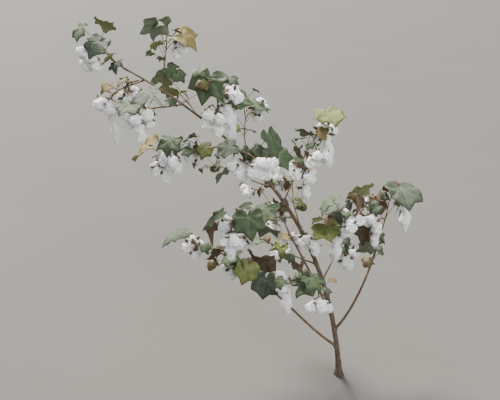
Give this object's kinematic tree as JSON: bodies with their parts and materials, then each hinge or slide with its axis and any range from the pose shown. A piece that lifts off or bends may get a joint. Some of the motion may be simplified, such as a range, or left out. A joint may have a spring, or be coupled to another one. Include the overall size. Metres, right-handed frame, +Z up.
{
  "type": "cotton plant",
  "caption": "Cotton plant at picking time: an arching woody stem with fruiting limbs, lobed leaves and open bolls of white lint.",
  "frame": {"origin": "centre of the flat cut under the main stem, at ground level", "axes": "+Z up, the stem arches over towards -X, +Y away from someone who stands in front with -X on the left"},
  "size_m": [0.9366, 0.6233, 1.0986],
  "materials": {
    "bark": "dull brown bark of a woody stem",
    "foliage": "matt leaves and lint on green-brown twigs",
    "lint": "matt white cotton lint",
    "leaf": "matt green leaf",
    "bur": "dry brown bur and bracts"
  },
  "bodies": {
    "root": {"crown_mass": "foliage", "fruiting_01_bough": "bark", "fruiting_01_mass": "foliage", "fruiting_02_bough": "bark", "fruiting_02_mass": "foliage", "fruiting_03_bough": "bark", "fruiting_03_mass": "foliage", "fruiting_04_bough": "bark", "fruiting_04_mass": "foliage", "fruiting_05_bough": "bark", "fruiting_05_mass": "foliage", "fruiting_06_bough": "bark", "fruiting_06_mass": "foliage", "fruiting_07_bough": "bark", "fruiting_07_mass": "foliage", "fruiting_08_bough": "bark", "fruiting_08_mass": "foliage", "fruiting_09_bough": "bark", "fruiting_09_mass": "foliage", "fruiting_10_bough": "bark", "fruiting_10_mass": "foliage", "fruiting_11_mass": "foliage", "fruiting_12_mass": "foliage", "fruiting_13_mass": "foliage", "fruiting_14_mass": "foliage", "fruiting_15_mass": "foliage", "fruiting_16_mass": "foliage", "main_stem": "bark", "vegetative_1_bough": "bark", "vegetative_1_mass": "foliage", "vegetative_2_bough": "bark", "vegetative_2_mass": "foliage", "vegetative_3_bough": "bark", "vegetative_3_mass": "foliage"}
  },
  "joints": []
}
